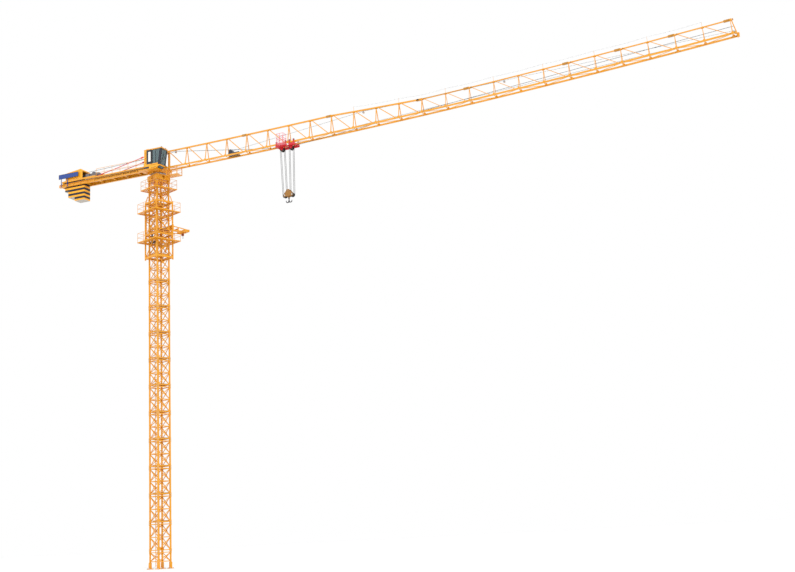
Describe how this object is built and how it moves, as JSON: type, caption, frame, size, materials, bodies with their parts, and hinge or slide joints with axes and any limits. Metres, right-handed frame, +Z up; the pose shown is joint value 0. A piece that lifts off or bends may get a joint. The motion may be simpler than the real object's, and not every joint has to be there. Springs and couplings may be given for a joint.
{
  "type": "flat-top tower crane, scale model at 1:2",
  "caption": "Flat-top tower crane on a lattice mast with a climbing cage: slewing top, bowed jib with a travelling trolley, hoist ropes and swivelling hook, cab, tied counter jib and slabs.",
  "frame": {"origin": "on the ground in the middle of the mast's four feet", "axes": "+Z up along the slewing axis, +X along the jib at rest, the cab on the -Y side"},
  "size_m": [37.2567, 2.815, 22.9179],
  "materials": {
    "orange_paint": "semi-gloss",
    "yellow_paint": "semi-gloss",
    "red_paint": "semi-gloss",
    "ochre_paint": "satin",
    "grey_paint": "satin",
    "dark_blue_paint": "satin",
    "blue_paint": "satin",
    "machined_steel": "oiled",
    "black_steel": "satin",
    "galvanised_grating": "matt",
    "wire_rope": "greased",
    "cab_glass": "clear tinted"
  },
  "bodies": {
    "tower": {"foot_plates": "orange_paint", "base_frame": "orange_paint", "mast_sections_01_02": "orange_paint", "mast_sections_03_04": "orange_paint", "mast_sections_05_06": "orange_paint", "mast_sections_07_08": "orange_paint", "mast_sections_09_10": "orange_paint", "mast_sections_11_12": "orange_paint", "mast_sections_13_14": "orange_paint", "cage_side_1": "orange_paint", "cage_side_2": "orange_paint", "cage_side_3": "orange_paint", "cage_side_4": "orange_paint", "cage_platform_lower": "orange_paint", "cage_platform_upper": "orange_paint", "mast_platform_top": "orange_paint", "platform_railings": "orange_paint", "loading_beam": "orange_paint", "climbing_cylinder": "black_steel", "slewing_support": "orange_paint", "slewing_ring_fixed": "machined_steel"},
    "slewing_upper": {"slewing_ring_turning": "machined_steel", "turntable": "orange_paint", "tower_head": "orange_paint", "jib_section_1": "orange_paint", "jib_section_2": "orange_paint", "jib_section_3": "orange_paint", "jib_section_4": "orange_paint", "jib_section_5": "orange_paint", "jib_section_6": "orange_paint", "jib_section_7": "orange_paint", "jib_section_8": "orange_paint", "jib_tip": "orange_paint", "trolley_winch": "dark_blue_paint", "counter_jib_frame": "orange_paint", "counter_jib_deck": "galvanised_grating", "counter_jib_railings": "orange_paint", "tie_rods": "red_paint", "counterweight_slabs": "orange_paint", "winch_frame": "orange_paint", "winch_motor": "grey_paint", "winch_housing": "yellow_paint", "sign_panel": "blue_paint", "cab_shell": "yellow_paint", "cab_glass": "cab_glass", "cab_platform": "orange_paint", "front_platform": "orange_paint"},
    "hoist_drum": {"hoist_drum": "machined_steel"},
    "trolley": {"trolley_frame": "red_paint", "trolley_wheels": "machined_steel", "trolley_sheaves": "machined_steel", "trolley_basket": "red_paint"},
    "rope_falls": {"hoist_ropes": "wire_rope"},
    "hook_block": {"hook_block": "ochre_paint", "block_sheaves": "machined_steel"},
    "hook": {"hook": "black_steel"}
  },
  "joints": [
    {"name": "slewing", "type": "hinge", "parent": "tower", "child": "slewing_upper", "pos_m": [0, 0, 20.82], "axis": [0, 0, 1], "continuous": true},
    {"name": "drum_spin", "type": "hinge", "parent": "slewing_upper", "child": "hoist_drum", "pos_m": [-5.15, 0, 21.63], "axis": [0, 1, 0], "continuous": true},
    {"name": "trolley_travel", "type": "hinge", "parent": "slewing_upper", "child": "trolley", "pos_m": [0, 0, 474.585], "axis": [0, -1, 0], "range_deg": [-0.72, 2.78]},
    {"name": "rope_falls_plumb", "type": "hinge", "parent": "trolley", "child": "rope_falls", "pos_m": [7.95415, 0, 20.89472], "axis": [0, -1, 0], "range_deg": [-2.9, 0.8]},
    {"name": "hook_hoist", "type": "slide", "parent": "rope_falls", "child": "hook_block", "axis": [0, 0, -1], "range_m": [-1.6, 17.8], "deforming": ["hoist_ropes"]},
    {"name": "hook_swivel", "type": "hinge", "parent": "hook_block", "child": "hook", "pos_m": [7.94959, 0, 18.24], "axis": [0, 0, 1], "continuous": true}
  ],
  "couplings": [
    {"joint": "rope_falls_plumb", "follows": "trolley_travel", "ratio": -1},
    {"joint": "drum_spin", "follows": "hook_hoist", "rad_per_m": 50}
  ]
}
